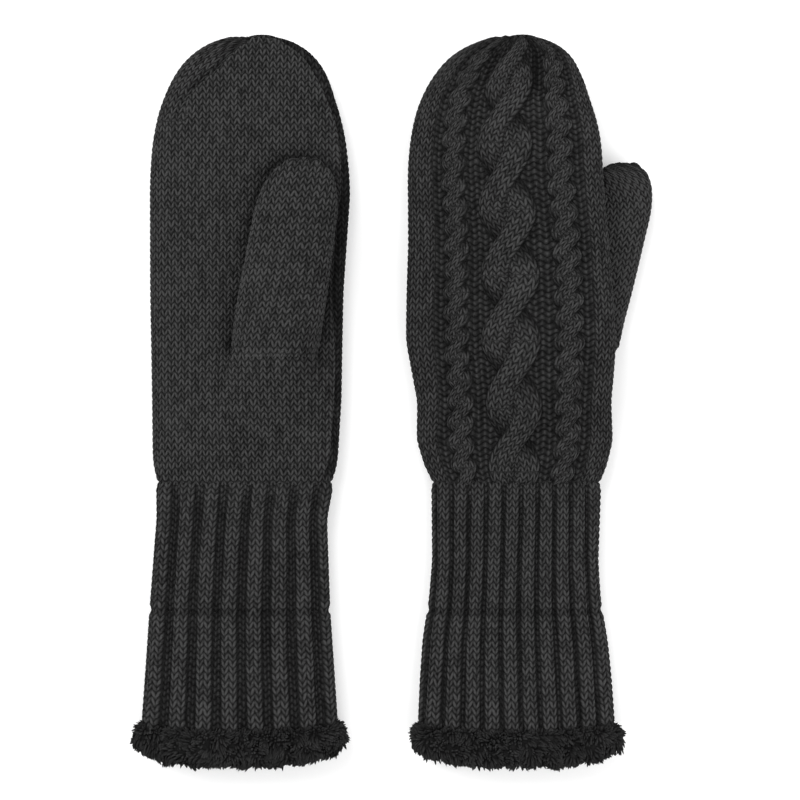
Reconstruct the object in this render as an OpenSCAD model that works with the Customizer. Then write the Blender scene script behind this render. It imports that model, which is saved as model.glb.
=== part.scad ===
// A pair of long knitted mittens with fleece linings, lying flat: the right-hand mitten palm up,
// the left-hand mitten back up. Millimetres, fingertips towards +Y, the floor at z = 0.

/* [Mitten] */
// Width across the fingers
hand_w = 92; // [84:1:98]
// Thickness of the lined hand lying flat
hand_t = 26; // [25:0.5:30]
// Length from the wrist line to the fingertips
hand_len = 207; // [200:1:214]

/* [Thumb] */
// Width across the thumb
thumb_w = 39; // [37:1:41]
// Thickness of the lined thumb lying flat
thumb_t = 18; // [17:0.5:20]
// Length from the crotch to the tip of the thumb
thumb_len = 86; // [80:1:90]
// Height of the crotch above the wrist line
crotch = 63; // [60:1:66]

/* [Cuff] */
// Length of the ribbed cuff, from the wrist line to the fleece edge
cuff_len = 112; // [100:1:120]
// Thickness of the lined cuff at the wrist
wrist_t = 24; // [23:0.5:26]
// Depth of the turned-out fleece edge
trim_len = 19; // [15:0.5:22]
// Width across the fleece edge
trim_w = 99; // [96:0.5:102]
// Thickness of the fleece edge
trim_t = 33; // [31:0.5:35]
// Distance of the lining's stitch line from the wrist line
stitch_drop = 59; // [56:1:68]

/* [Fabric] */
// Thickness of the knitted shell
knit_t = 2.6; // [2.2:0.1:2.8]
// Thickness of the fleece lining
lining_t = 2.4; // [2:0.1:2.6]
// Room between the knitted shell and the lining
seam_room = 1; // [1:0.1:1.2]

/* [Hidden] */
MITTENS = ["right", "left"];
PIECES = ["palm", "back", "side_seams", "tip_gather", "hand_lining", "thumb_seam", "thumb",
          "thumb_tip_gather", "thumb_lining", "cuff", "cuff_lining", "lining_stitches",
          "fleece_trim", "trim_stitches"];

RIGHT = 0;
LEFT = 1;
knit_colour = "#37373a";
gather_colour = "#2e2e31";
seam_colour = "#242427";
fleece_colour = "#202022";

// Room between pieces that move on each other
joint_gap = 0.8;
thumb_gap = 0.6;
thumb_lift = 0.5;
// The wrist line, placed so that the pair is centred on y = 0
wrist_y = (cuff_len + trim_len - hand_len) / 2;
tip_y = wrist_y + hand_len;
crotch_y = wrist_y + crotch;
thumb_tip_y = crotch_y + thumb_len;
cuff_end_y = wrist_y - cuff_len;
trim_end_y = cuff_end_y - trim_len;
gather_depth = 1.2;
stitch_w = 1.6;

// How round a cross-section is: 2 is an ellipse, more is flatter
section_power = 2.6;
// Corners of a full cross-section
sides = 20;
// How far the underside is pressed flat against the floor
press = 2.5;

// Half widths as shares of half the hand's width, and centre lines in mm,
// both against the distance above the wrist line
half_shares = [
    [[-112, 0.98], [-80, 0.935], [-52, 0.895], [-16, 0.85], [0, 0.885], [12, 0.925], [38, 0.945],
     [88, 0.965], [133, 1]],
    [[-112, 0.98], [-90, 0.955], [-72, 0.925], [-53, 0.86], [-35, 0.83], [0, 0.845], [10, 0.92],
     [20, 0.98], [38, 0.96], [66, 1.03], [85, 1.015], [110, 0.985], [143, 0.97]]];
centres = [
    [[-131, -70], [-60, -70.5], [-16, -69.5], [0, -68], [38, -67], [88, -67], [133, -65.5], [207, -65]],
    [[-131, 57], [-60, 56.5], [0, 57], [38, 55.5], [66, 53.5], [110, 53], [143, 54], [207, 57]]];
// Where the crown starts to round off, and how square its curve is
crown_start = [133, 143];
crown_power = [2.5, 2.3];
// Steps of the crown, as shares of its length
crown_steps = [0, 0.25, 0.45, 0.6, 0.73, 0.84, 0.92, 0.975];
// Steps of the hand below the crown, in mm above the wrist line
hand_steps = [0, 12, 24, 38, 52, 66, 85, 108];
// Steps of the cuff, in mm below the wrist line, with two at the lining's stitch line
cuff_steps = [0, 16, 35, 53, stitch_drop - stitch_w, stitch_drop, 72, 90];

// Thumb: centre of its base from the hand's centre line, and how far the tip leans out
thumb_base = [14, 30];
thumb_lean = [10, 20.5];
thumb_crown_len = 24;
thumb_crown_power = 2.3;
thumb_steps = [0, 0.2, 0.4, 0.6, 0.72];
thumb_crown_steps = [0.3, 0.55, 0.75, 0.9, 0.975];
// The gusset, where the palm rises into the thumb
gusset_start = 14;
gusset_steps = [0, 0.2, 0.4, 0.6, 0.8, 1];
gusset_sunk = 8;

function smooth(t) = let (s = min(1, max(0, t))) s * s * (3 - 2 * s);
function mix(a, b, t) = a + (b - a) * t;
function power_curve(t, n) = pow(max(0, 1 - pow(max(0, t), n)), 1 / n);
function signed_power(v, e) = sign(v) * pow(abs(v), e);

// The mitten's outline: half width, centre and thickness at the height y, with t of fabric removed
function centre_x(m, y) = lookup(y - wrist_y, centres[m]);
function crown_y(m) = wrist_y + crown_start[m];
function crown_share(m, y, t) = (y - crown_y(m)) / (tip_y - gather_depth - t - crown_y(m));
function half_width(m, y, t) =
    y <= crown_y(m) ? hand_w / 2 * lookup(y - wrist_y, half_shares[m]) - t
    : (hand_w / 2 * lookup(crown_start[m], half_shares[m]) - t)
      * power_curve(crown_share(m, y, t), crown_power[m]);
function flat_t(y) = lookup(y - wrist_y, [[-112, 28], [-60, 25], [0, wrist_t], [25, hand_t]]);
function thickness(m, y, t) =
    y <= crown_y(m) ? flat_t(y) - 2 * t
    : (hand_t - 2 * t) * power_curve(crown_share(m, y, t), 2.8);
// The cuff rises a little towards the thick fleece edge
function rise(y) = lookup(y - wrist_y, [[-112, (trim_t - 28) / 2], [-70, 0]]);

// The left-hand mitten lies on its own thumb, which lifts the palm on that side
function lifted(m, x, y) =
    m == RIGHT ? 0
    : thumb_room * smooth((y - gusset_y) / (crotch_y - gusset_y - 2))
      * (1 - 0.97 * smooth((y - thumb_tip_y - 1) / (tip_y - thumb_tip_y - 3)))
      * smooth((x - centre_x(m, y) + 40) / 48);
thumb_room = thumb_t + thumb_lift;
gusset_y = wrist_y + gusset_start;

// One cross-section: half width, centre, bottom and top, from angle a0 over the arc span
function section(y, half, x0, bottom, top, a0 = 0, span = 360) =
    let (middle = (bottom + top) / 2, n = span == 360 ? sides - 1 : sides / 2)
    [for (k = [0:n]) let (a = a0 + k * 360 / sides, s = sin(a), e = 2 / section_power)
        [x0 + half * signed_power(cos(a), e), y,
         s >= 0 ? middle + (top - middle) * pow(s, e)
         : max(bottom, middle - (middle - bottom + press) * pow(-s, e))]];

// The hand's cross-section at y, lifted off the floor where it lies on its thumb
function hand_section(m, y, t, a0 = 0, span = 360) =
    let (inner = thickness(m, y, t), low = y <= crown_y(m) ? rise(y) + t
         : (flat_t(y) - inner) / 2 * smooth(crown_share(m, y, t)) + t * (1 - smooth(crown_share(m, y, t))))
    [for (p = section(y, half_width(m, y, t), centre_x(m, y), low, low + inner, a0, span))
        [p.x, p.y, p.z + lifted(m, p.x, p.y)]];
function hand_ys(m, t) = concat(
    [for (s = hand_steps) wrist_y + s],
    [for (c = crown_steps) crown_y(m) + c * (tip_y - gather_depth - t - crown_y(m))]);
function hand_sections(m, t, a0 = 0, span = 360) =
    [for (y = hand_ys(m, t)) hand_section(m, y, t, a0, span)];

// The gusset's cross-sections: a short root of the thumb, sunk into the palm until near the crotch
function gusset_section(m, c, t) =
    let (y = mix(gusset_y, crotch_y, c), up = thumb_room * smooth(c),
         sunk = mix(gusset_sunk + t, -thumb_lift - t, smooth((c - 0.6) / 0.4)),
         half = thumb_w / 2 * mix(0.45, 1, smooth(c * 1.2)) - t,
         x0 = centre_x(m, y) + thumb_base[m] - 2 * (1 - c))
    m == RIGHT ? section(y, half, x0, hand_t - sunk, hand_t + up - t)
    : section(y, half, x0, t, up + sunk);
function gusset_sections(m, t) = [for (c = gusset_steps) gusset_section(m, c, t)];

// The thumb's cross-sections, leaning outwards from the crotch
function thumb_x(m, y) =
    centre_x(m, crotch_y) + thumb_base[m] + thumb_lean[m] * (y - crotch_y) / thumb_len;
function thumb_section(m, y, t) =
    let (start = thumb_tip_y - thumb_crown_len,
         c = power_curve((y - start) / (thumb_crown_len - gather_depth - t), thumb_crown_power),
         low = m == RIGHT ? hand_t + thumb_lift : 0, inner = (thumb_t - 2 * t) * c)
    section(y, (thumb_w / 2 - t) * c, thumb_x(m, y), low + t * c, low + t * c + inner);
function thumb_sections(m, t, y0) = concat(
    [for (s = thumb_steps) thumb_section(m, mix(y0, thumb_tip_y, s), t)],
    [for (s = thumb_crown_steps) thumb_section(m,
        thumb_tip_y - thumb_crown_len + s * (thumb_crown_len - gather_depth - t), t)]);

// A solid skinned over cross-sections that follow each other along +Y. The last strip closes
// the section; turned splits its faces the other way, to match the half that it lies against.
module skin(rings, turned = false) {
    n = len(rings[0]);
    last = (len(rings) - 1) * n;
    polyhedron(
        points = [for (r = rings) each r],
        faces = concat(
            [[for (k = [n - 1:-1:0]) k]],
            [[for (k = [0:n - 1]) last + k]],
            [for (j = [0:len(rings) - 2]) for (k = [0:n - 1]) for (half = [0, 1])
                let (a = j * n + k, b = j * n + (k + 1) % n, other = turned && k == n - 1)
                half == 0 ? [a, b, other ? a + n : b + n] : [other ? b : a, b + n, a + n]]));
}

// A sleeve: an outer and an inner skin that are open at both ends
module sleeve(outer, inner) {
    n = len(outer[0]);
    size = len(outer) * n;
    last = (len(outer) - 1) * n;
    polyhedron(
        points = concat([for (r = outer) each r], [for (r = inner) each r]),
        faces = concat(
            [for (j = [0:len(outer) - 2]) for (k = [0:n - 1]) for (half = [0, 1])
                let (a = j * n + k, b = j * n + (k + 1) % n)
                half == 0 ? [a, b, b + n] : [a, b + n, a + n]],
            [for (j = [0:len(inner) - 2]) for (k = [0:n - 1]) for (half = [0, 1])
                let (a = size + j * n + k, b = size + j * n + (k + 1) % n)
                half == 0 ? [a, b + n, b] : [a, a + n, b + n]],
            [for (k = [0:n - 1]) for (half = [0, 1]) let (a = k, b = (k + 1) % n)
                half == 0 ? [a, size + b, b] : [a, size + a, size + b]],
            [for (k = [0:n - 1]) for (half = [0, 1]) let (a = last + k, b = last + (k + 1) % n)
                half == 0 ? [a, b, size + b] : [a, size + b, size + a]]));
}

// A closed tip: the inner skin starts beyond the open end, so that the mouth is cut clean
function open_start(rings) = concat([[for (p = rings[0]) [p.x, p.y - 1, p.z]]], rings);
function open_end(rings) =
    concat(rings, [[for (p = rings[len(rings) - 1]) [p.x, p.y + 1, p.z]]]);

// The palm or the back of the shell, which meet along the sides of the hand.
// The resize joins each half into one welded skin.
module hand_half(m, upper) {
    is_palm = upper == (m == RIGHT);
    resize([0, 0, 0]) difference() {
        union() {
            skin(hand_sections(m, 0, upper ? 0 : 180, 180), !upper);
            if (is_palm) skin(gusset_sections(m, 0));
        }
        skin(open_start(hand_sections(m, knit_t)));
        if (is_palm) skin(open_end(gusset_sections(m, knit_t)));
    }
}

module palm(m) {
    color(knit_colour) hand_half(m, m == RIGHT);
}

module back(m) {
    color(knit_colour) hand_half(m, m == LEFT);
}

// The linked seam inside each side of the hand, a narrow cord in the room under the shell
module side_seams(m) {
    color(seam_colour) for (side = [-1, 1]) skin([
        for (y = [for (v = hand_ys(m, knit_t)) if (v < tip_y - 9) v])
            let (x = centre_x(m, y) + side * (half_width(m, y, knit_t) - seam_room / 2 - 0.1),
                 z = flat_t(y) / 2 + lifted(m, x, y))
            [for (a = [0:90:270]) [x + 0.3 * cos(a), y, z + 0.9 * sin(a)]]]);
}

// The drawn-up stitches that close the fingertips
module tip_gather(m) {
    y = tip_y - gather_depth;
    x = centre_x(m, y);
    color(gather_colour) skin([for (s = [[0, 1], [0.7, 0.85], [1, 0.5]])
        [for (a = [0:30:330]) [x + 9 * s[1] * cos(a), y + gather_depth * s[0],
                               flat_t(y) / 2 + lifted(m, x, y) + 3 * s[1] * sin(a)]]]);
}

// The hand's lining, with the root of the thumb's lining
module hand_lining(m) {
    out = knit_t + seam_room;
    color(fleece_colour) resize([0, 0, 0]) difference() {
        union() {
            skin(hand_sections(m, out));
            skin(gusset_sections(m, out));
        }
        skin(open_start(hand_sections(m, out + lining_t)));
        skin(open_end(gusset_sections(m, out + lining_t)));
    }
}

// The ring of stitches that joins the thumb to the gusset
module thumb_seam(m) {
    shift = thumb_gap / 2;
    color(seam_colour) sleeve(
        [for (d = [0, shift]) [for (p = gusset_section(m, 1, 0)) [p.x, p.y + d, p.z]]],
        [for (d = [0, shift]) [for (p = gusset_section(m, 1, knit_t)) [p.x, p.y + d, p.z]]]);
}

module thumb(m) {
    y0 = crotch_y + thumb_gap;
    color(knit_colour) resize([0, 0, 0]) difference() {
        skin(thumb_sections(m, 0, y0));
        skin(open_start(thumb_sections(m, knit_t, y0)));
    }
}

module thumb_tip_gather(m) {
    y = thumb_tip_y - gather_depth;
    z = (m == RIGHT ? hand_t + thumb_lift : 0) + 2;
    color(gather_colour) skin([for (s = [[0, 1], [0.7, 0.85], [1, 0.5]])
        [for (a = [0:30:330]) [thumb_x(m, y) + 5 * s[1] * cos(a), y + gather_depth * s[0],
                               z + 1.6 * s[1] * sin(a)]]]);
}

module thumb_lining(m) {
    out = knit_t + seam_room;
    y0 = crotch_y + thumb_gap;
    color(fleece_colour) resize([0, 0, 0]) difference() {
        skin(thumb_sections(m, out, y0));
        skin(open_start(thumb_sections(m, out + lining_t, y0)));
    }
}

function cuff_rings(m, t, low, high) =
    let (ys = [high, for (s = cuff_steps) if (wrist_y - s < high - 1 && wrist_y - s > low + 1)
               wrist_y - s, low])
    [for (i = [len(ys) - 1:-1:0]) hand_section(m, ys[i], t)];

module cuff(m) {
    top = wrist_y - joint_gap;
    low = cuff_end_y + stitch_w;
    color(knit_colour) sleeve(cuff_rings(m, 0, low, top), cuff_rings(m, knit_t, low, top));
}

module cuff_lining(m) {
    top = wrist_y - joint_gap;
    out = knit_t + seam_room;
    color(fleece_colour) sleeve(cuff_rings(m, out, cuff_end_y, top),
                                cuff_rings(m, out + lining_t, cuff_end_y, top));
}

// The stitch line that pinches the shell to the lining halfway down the cuff
module lining_stitches(m) {
    y = wrist_y - stitch_drop;
    play = 0.02;
    color(seam_colour) sleeve(
        [for (d = [0, stitch_w]) hand_section(m, y + d, knit_t + play)],
        [for (d = [0, stitch_w]) hand_section(m, y + d, knit_t + seam_room - play)]);
}

// The fleece of the lining, turned out as a thick soft edge
module fleece_trim(m) {
    inner = knit_t + seam_room + lining_t;
    ys = [trim_end_y, trim_end_y + 3, trim_end_y + 9, cuff_end_y - 3, cuff_end_y];
    swell = [-4, -1.2, 0, -0.5, -2];
    lip = hand_section(m, cuff_end_y, inner);
    color(fleece_colour) sleeve(
        [for (i = [0:4]) section(ys[i], trim_w / 2 + swell[i], centre_x(m, ys[i]),
                                 max(0, -0.5 - swell[i] / 2), trim_t + swell[i] / 2)],
        [for (i = [0:4]) [for (p = lip) [p.x, ys[i], p.z]]]);
}

// The ring of stitches between the cuff and the fleece edge
module trim_stitches(m) {
    color(seam_colour) sleeve(
        [for (d = [0, stitch_w]) hand_section(m, cuff_end_y + d, 0)],
        [for (d = [0, stitch_w]) hand_section(m, cuff_end_y + d, knit_t + seam_room)]);
}

module piece(name, m) {
    if (name == "palm") palm(m);
    if (name == "back") back(m);
    if (name == "side_seams") side_seams(m);
    if (name == "tip_gather") tip_gather(m);
    if (name == "hand_lining") hand_lining(m);
    if (name == "thumb_seam") thumb_seam(m);
    if (name == "thumb") thumb(m);
    if (name == "thumb_tip_gather") thumb_tip_gather(m);
    if (name == "thumb_lining") thumb_lining(m);
    if (name == "cuff") cuff(m);
    if (name == "cuff_lining") cuff_lining(m);
    if (name == "lining_stitches") lining_stitches(m);
    if (name == "fleece_trim") fleece_trim(m);
    if (name == "trim_stitches") trim_stitches(m);
}

for (m = [RIGHT, LEFT]) for (p = PIECES)
    piece(p, m);
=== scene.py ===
"""Knitted mittens: the visual model of a pair of long cable-knit mittens with fleece linings."""
import math

import bpy
import numpy as np
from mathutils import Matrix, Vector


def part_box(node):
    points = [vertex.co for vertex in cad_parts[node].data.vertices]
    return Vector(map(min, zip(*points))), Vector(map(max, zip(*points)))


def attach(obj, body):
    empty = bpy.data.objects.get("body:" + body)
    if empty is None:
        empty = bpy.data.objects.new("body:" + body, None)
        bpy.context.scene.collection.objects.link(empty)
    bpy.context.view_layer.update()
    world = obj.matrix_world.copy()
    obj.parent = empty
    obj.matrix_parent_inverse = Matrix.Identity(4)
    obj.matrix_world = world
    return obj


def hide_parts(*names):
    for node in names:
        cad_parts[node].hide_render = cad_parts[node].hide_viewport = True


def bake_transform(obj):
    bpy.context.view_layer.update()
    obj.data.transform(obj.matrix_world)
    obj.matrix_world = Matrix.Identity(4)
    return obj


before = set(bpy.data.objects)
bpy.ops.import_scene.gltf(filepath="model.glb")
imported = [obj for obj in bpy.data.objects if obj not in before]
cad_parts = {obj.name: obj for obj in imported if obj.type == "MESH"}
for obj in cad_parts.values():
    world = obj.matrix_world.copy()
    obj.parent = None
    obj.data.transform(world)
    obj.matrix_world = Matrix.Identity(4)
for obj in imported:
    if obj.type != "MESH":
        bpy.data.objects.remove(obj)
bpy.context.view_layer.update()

bl_info = {
    "name": "Knitted Mittens",
    "version": (1, 0, 0),
    "blender": (4, 5, 0),
    "location": "View3D > Sidebar > Mittens",
    "description": "Builds a pair of long knitted mittens around their packed frame",
    "category": "Add Mesh",
}

MM = 0.001
RIGHT, LEFT = 0, 1
NAMES = ("right", "left")


# ---- sizes from the frame, in mm

def node_box(node):
    """Lowest and highest corner of a frame node, in mm."""
    low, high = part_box(node)
    return np.array(low) / MM, np.array(high) / MM


def span(node, axis):
    """How long a frame node is along an axis, in mm."""
    low, high = node_box(node)
    return float(high[axis] - low[axis])


WRIST_Y = node_box("right_palm")[0][1]
TIP_Y = node_box("right_tip_gather")[1][1]
CROTCH_Y = node_box("right_thumb_seam")[0][1]
THUMB_TIP_Y = node_box("right_thumb_tip_gather")[1][1]
CUFF_END_Y = node_box("right_trim_stitches")[0][1]
HAND_T = 2 * node_box("right_back")[1][2]
THUMB_T = span("right_thumb", 2)
TRIM_T = node_box("right_fleece_trim")[1][2]
STITCH_LINE_Y = node_box("right_lining_stitches")[0][1]
HAND_W = span("right_back", 0)
THUMB_W = span("right_thumb_seam", 0)
LINING_DEPTH = 3.6
LINING_T = 2.4


# ---- the mitten's form

def smooth(t):
    """Eases from 0 to 1."""
    t = np.clip(t, 0, 1)
    return t * t * (3 - 2 * t)


def dome(t, power=2.0):
    """A superellipse arch: 1 at t = 0, falling to 0 at t = 1."""
    return np.maximum(0, 1 - np.abs(t) ** power) ** (1 / power)


def bell(t):
    """1 at t = 0, fading to both sides."""
    return np.exp(-t ** 2)


def travelled(x, y):
    """Distance along a line of points, from 0 at its first."""
    return np.concatenate([[0], np.cumsum(np.hypot(np.diff(x), np.diff(y)))])


def evenly(places, along, count):
    """Places that lie evenly far apart on a line, given the distance along it at some places."""
    return np.interp(np.linspace(0, along[-1], count), along, places)


def curve(rows, soften=7.0):
    """A softened line through (place, value) rows, as a function of the place."""
    step = 0.5
    places = np.arange(rows[0][0] - 30, rows[-1][0] + 30, step)
    kernel = np.hanning(int(4 * soften / step) | 1)
    values = np.interp(places, *zip(*rows))
    padded = np.pad(values, len(kernel) // 2, mode="edge")
    soft = np.convolve(padded, kernel / kernel.sum(), mode="valid")
    return lambda place: np.interp(place, places, soft)


class Mitten:
    """The form of one mitten. Heights along the mitten (y) and all lengths are in mm. In pairs
    the right one comes first; the rows are (height over the wrist, value)."""

    half_shares = (
        ((-112, 0.98), (-80, 0.935), (-52, 0.895), (-16, 0.85), (0, 0.885), (12, 0.925),
         (38, 0.945), (88, 0.965), (133, 1), (165, 0.985), (178, 0.975), (195, 1), (203, 1.03)),
        ((-112, 0.98), (-90, 0.955), (-72, 0.925), (-53, 0.86), (-35, 0.83), (0, 0.845),
         (10, 0.92), (20, 0.98), (38, 0.96), (66, 1.03), (85, 1.015), (110, 0.985), (130, 0.965),
         (150, 0.95), (177, 0.932), (190, 0.95), (202, 1.01)))
    centres = (
        ((-131, -70), (-60, -70.5), (-16, -69.5), (0, -68), (38, -67), (88, -67), (133, -65.5),
         (175, -66), (197, -64.5), (207, -64)),
        ((-131, 57), (-60, 56.5), (0, 57), (38, 55.5), (66, 53.5), (110, 52.5), (140, 51),
         (175, 51), (190, 53), (207, 57)))
    crown_start = (133, 143)
    crown_power = (2.5, 2.3)
    thumb_base = (14, 30)
    thumb_lean = (13.5, 23.5)
    tip_shift = (4, 3)
    section_power = 2.6
    press = 2.5

    def __init__(self, side):
        self.side = side
        self.name = NAMES[side]
        self.palm_up = side == RIGHT
        self.share = curve(self.half_shares[side], 3.0)
        self.centre_line = curve(self.centres[side], 5.0)
        self.flat = curve(((-112, 28), (-60, 25), (0, 24), (25, HAND_T)))
        self.lift_up = curve(((-112, (TRIM_T - 28) / 2), (-70, 0)))
        self.crown_y = WRIST_Y + self.crown_start[side]

    def centre(self, y):
        return self.centre_line(y - WRIST_Y)

    def crown(self, y):
        """Share of the crown's length that lies below y."""
        return np.clip((y - self.crown_y) / (TIP_Y - 1 - self.crown_y), 0, 1)

    def half(self, y):
        return HAND_W / 2 * self.share(y - WRIST_Y) * dome(
            self.crown(y), self.crown_power[self.side])

    def thickness(self, y):
        return self.flat(y - WRIST_Y) * (0.02 + 0.98 * dome(self.crown(y), 2.8))

    def bottom(self, y):
        """The underside's height over the floor, before the lift."""
        sunk = (self.flat(y - WRIST_Y) - self.thickness(y)) / 2
        return self.lift_up(y - WRIST_Y) + sunk * smooth(self.crown(y))

    def lift(self, x, y):
        """The left-hand mitten lies on its own thumb, which raises that side of the hand."""
        if self.side == RIGHT:
            return np.zeros(np.broadcast(x, y).shape)
        ramp = smooth((y - WRIST_Y - 14) / (CROTCH_Y - WRIST_Y - 16))
        fall = 1 - 0.97 * smooth((y - THUMB_TIP_Y - 1) / (TIP_Y - THUMB_TIP_Y - 3))
        return (THUMB_T + 0.5) * ramp * fall * smooth((x - self.centre(y) + 40) / 48)

    def section(self, y, upper, columns, inset=0.0):
        """Points across half of the cross-section at y from -x to +x, with the half's arc length."""
        angle = np.linspace(math.pi, 0 if upper else 2 * math.pi, 361)
        power = 2 / self.section_power
        half = max(self.half(y) - inset, 0.3)
        thick = max(self.thickness(y) - 2 * inset, 0.3)
        low = self.bottom(y) + (self.thickness(y) - thick) / 2
        middle = low + thick / 2
        cos, sin = np.cos(angle), np.sin(angle)
        x = self.centre(y) + half * np.sign(cos) * np.abs(cos) ** power
        if upper:
            z = middle + thick / 2 * np.abs(sin) ** power
        else:
            z = np.maximum(low, middle - (thick / 2 + self.press) * np.abs(sin) ** power)
        z = z + self.lift(x, y)
        along = travelled(x, z)
        return evenly(x, along, columns), evenly(z, along, columns), along[-1] / 2

    def panel(self, ys, upper, columns, inset=0.0):
        """Rows of points across the upper or the lower half, and the half's arc length in each."""
        insets = np.broadcast_to(inset, len(ys))
        sections = [self.section(y, upper, columns, deep) for y, deep in zip(ys, insets)]
        points = np.array([np.stack([x, np.full_like(x, y), z], axis=1)
                           for (x, z, _), y in zip(sections, ys)])
        return points, np.array([s[2] for s in sections])[:, None]

    def ring(self, ys, columns, inset=0.0):
        """Closed rows of points: over the top from -x to +x and back underneath."""
        top = self.panel(ys, True, columns // 2 + 1, inset)[0]
        low = self.panel(ys, False, columns // 2 + 1, inset)[0]
        return np.concatenate([top, low[:, -2::-1]], axis=1)

    def thumb_centre(self, y):
        return (self.centre(CROTCH_Y) + self.thumb_base[self.side]
                + self.thumb_lean[self.side] * (y - CROTCH_Y) / (THUMB_TIP_Y - CROTCH_Y))

    def thumb_rise(self, x, y):
        """How far the palm swells into the root of the thumb."""
        up = (THUMB_T + 0.3) * smooth((y - WRIST_Y - 6) / (CROTCH_Y - WRIST_Y - 6))
        away = x - self.thumb_centre(y)
        soft = np.maximum(0, 1 - (away / 31) ** 2) ** 2
        firm = dome(away / (THUMB_W / 2 - 0.3), 2.6)
        share = smooth((y - CROTCH_Y + 17) / 17)
        return up * (soft * (1 - share) + firm * share) * (1 - smooth((y - CROTCH_Y - 1.6) / 2.4))

    def tip(self):
        """The point where the fingertips are drawn together."""
        x = np.array(self.centre(TIP_Y) + self.tip_shift[self.side])
        y = TIP_Y - 2.4
        return np.array([x, y, self.bottom(y) + self.thickness(y) / 2 + self.lift(x, np.array(y))])


MITTENS = (Mitten(RIGHT), Mitten(LEFT))


# ---- stitches

PANEL_HALF = 51.0
PURL_END = 36.4
PURL_DEPTH = -0.9
STITCH_LEAN = 1.7


def size(name):
    """A size that the user can change, in mm."""
    return getattr(bpy.context.scene.mitten_sizes, name) / MM


def part(value):
    """What a value has past its last whole number."""
    return value - np.floor(value)


def knit(u, v):
    """The face of plain knitting: each wale is a chain of V-shaped loops. Height from 0 to 1."""
    across = np.abs(part(u) - 0.5)
    leg = 2 * part(v - STITCH_LEAN * across) - 1
    swell = 1 - np.abs(4 * across - 1) ** 2.5
    return np.sqrt(np.maximum(0, 1 - leg ** 2)) * (0.25 + 0.75 * np.sqrt(np.maximum(0, swell)))


def purl(u, v):
    """The reverse of plain knitting: staggered rows of wavy bumps. Height from 0 to 1."""
    wave = 2 * part(v + 0.25 * np.cos(2 * math.pi * u)) - 1
    return np.sqrt(np.maximum(0, 1 - wave ** 2)) * (0.7 + 0.3 * np.cos(4 * math.pi * u))


def rope(x, along, half, strand, pitch, wales):
    """A rope cable whose two strands cross halfway through each pitch, the upper one leaning right.
    Returns its height from 0 to 1 and the stitch place on the strand that lies on top."""
    turn = part(along / pitch)
    crossing = np.sin(math.pi * turn)
    reach = half - strand
    best, u, v = (np.zeros_like(x) for _ in range(3))
    for way, arch in ((-1, 0.82 - 0.6 * crossing ** 1.5), (1, 0.82 + 0.18 * crossing)):
        offset = x + way * reach * np.cos(math.pi * turn)
        height = arch * dome(offset / strand, 2.5)
        lean = np.arctan(way * math.pi * crossing * reach / pitch)
        top = height >= best
        best = np.where(top, height, best)
        u = np.where(top, (offset / (2 * strand) + 0.5) * wales + (20 if way > 0 else 0), u)
        v = np.where(top, (along + offset * np.sin(lean)) / size("course"), v)
    return best, u, v


class Relief:
    """Heights in mm over a sheet, and what the yarn's material needs: its painted light and shade,
    darker where a point lies less open, whether it is purl, and its place among the stitches."""

    FIELDS = ("height", "light", "purl", "u", "v")

    def __init__(self, shape):
        for field in self.FIELDS:
            setattr(self, field, np.zeros(shape))

    def lay(self, where, **values):
        for field, value in values.items():
            setattr(self, field, np.where(where, value, getattr(self, field)))

    def each(self, change):
        for field in self.FIELDS:
            setattr(self, field, change(getattr(self, field)))
        return self

    def joined(self, other, axis):
        """This relief with another one after it."""
        both = Relief(())
        for field in self.FIELDS:
            setattr(both, field, np.concatenate([getattr(self, field), getattr(other, field)], axis=axis))
        return both


def plain_knit(relief, u, v, where=True, height=0.0, light=1.0):
    """Lays plain knitting over a part of the sheet, with painted shade between its loops."""
    stitch = knit(u, v)
    relief.lay(where, height=height + size("stitch_depth") * stitch,
               light=light * (0.42 + 0.58 * stitch), purl=0.0, u=u, v=v)


def purl_ground(relief, x, along, height=0.0, light=0.62, width=1.75):
    """Lays purl over the whole sheet, with painted shade in its recess and between its bumps; width is that
    of a pair of bumps, in wales.
    """
    u, v = x / (width * size("wale")), along / (0.94 * size("course"))
    bump = purl(u, v)
    relief.lay(True, height=height + 0.9 * bump, light=light * (0.55 + 0.45 * bump), purl=1.0, u=u, v=v)


def back_relief(x, along):
    """The cable panel: a wide rope cable, a narrow rope on each side, purl between them."""
    relief = Relief(x.shape)
    purl_ground(relief, x, along, PURL_DEPTH)
    wide, narrow = size("cable_pitch"), size("rope_pitch")
    for middle, half, strand, pitch, wales, rise, shift in (
            (0, 13.4, 6.8, wide, 4, 3.8, wide / 2 - 100.5),
            (-25.6, 6.9, 4.2, narrow, 3, 2.7, 0),
            (25.4, 6.9, 4.2, narrow, 3, 2.7, 3)):
        body, u, v = rope(x - middle, along + shift, half, strand, pitch, wales)
        stitch = knit(u, v)
        slope = smooth(body / 0.75)
        # Painted shade at the foot of each rope, where it dips into the purl
        relief.lay(body > 0.06, u=u, v=v, purl=0.0,
                   height=PURL_DEPTH + rise * body + 0.85 * size("stitch_depth") * stitch * slope,
                   light=(0.1 + 0.85 * slope) * (0.6 + 0.4 * stitch))
    # Painted shade on the plain knitting's edge, where it dips to the purl
    edge = smooth((np.abs(x) - PURL_END + 0.8) / 1.8)
    plain_knit(relief, (x - PURL_END) / size("wale"), along / size("course"), np.abs(x) > PURL_END,
               PURL_DEPTH * (1 - edge), 0.3 + 0.6 * edge)
    return relief


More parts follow.
